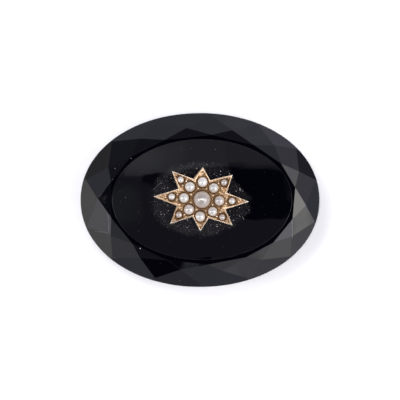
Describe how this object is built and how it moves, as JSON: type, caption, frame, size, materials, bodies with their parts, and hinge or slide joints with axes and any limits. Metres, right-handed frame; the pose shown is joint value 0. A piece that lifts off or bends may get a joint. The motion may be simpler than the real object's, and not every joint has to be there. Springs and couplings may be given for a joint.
{
  "type": "star brooch",
  "caption": "Oval black stone brooch with a faceted border and a low polished dome, set with a rayed gold star of half pearls and carried on a pin fitting.",
  "frame": {"origin": "middle of the outline's box, on the plane that the hinge foot and catch foot rest on", "axes": "+X along the stone's length, to the right as the picture shows it; +Y across it, to the picture's top; +Z out of the face"},
  "size_m": [0.044, 0.032, 0.0117],
  "materials": {
    "black_onyx": "high polish",
    "rose_gold": "polished, worn and a little tarnished in the hollows",
    "half_pearl": "soft nacre lustre",
    "fitting_gold": "satin, rubbed bright where it rests"
  },
  "bodies": {
    "root": {"onyx_plaque": "black_onyx", "star_setting": "rose_gold", "pin_fitting": "fitting_gold", "centre_pearl": "half_pearl", "ring_pearl_right": "half_pearl", "ring_pearl_top_right": "half_pearl", "ring_pearl_top": "half_pearl", "ring_pearl_top_left": "half_pearl", "ring_pearl_left": "half_pearl", "ring_pearl_bottom_left": "half_pearl", "ring_pearl_bottom": "half_pearl", "ring_pearl_bottom_right": "half_pearl", "ray_pearl_right": "half_pearl", "ray_pearl_top_right": "half_pearl", "ray_pearl_top_left": "half_pearl", "ray_pearl_left": "half_pearl", "ray_pearl_bottom_left": "half_pearl", "ray_pearl_bottom_right": "half_pearl"}
  },
  "joints": []
}
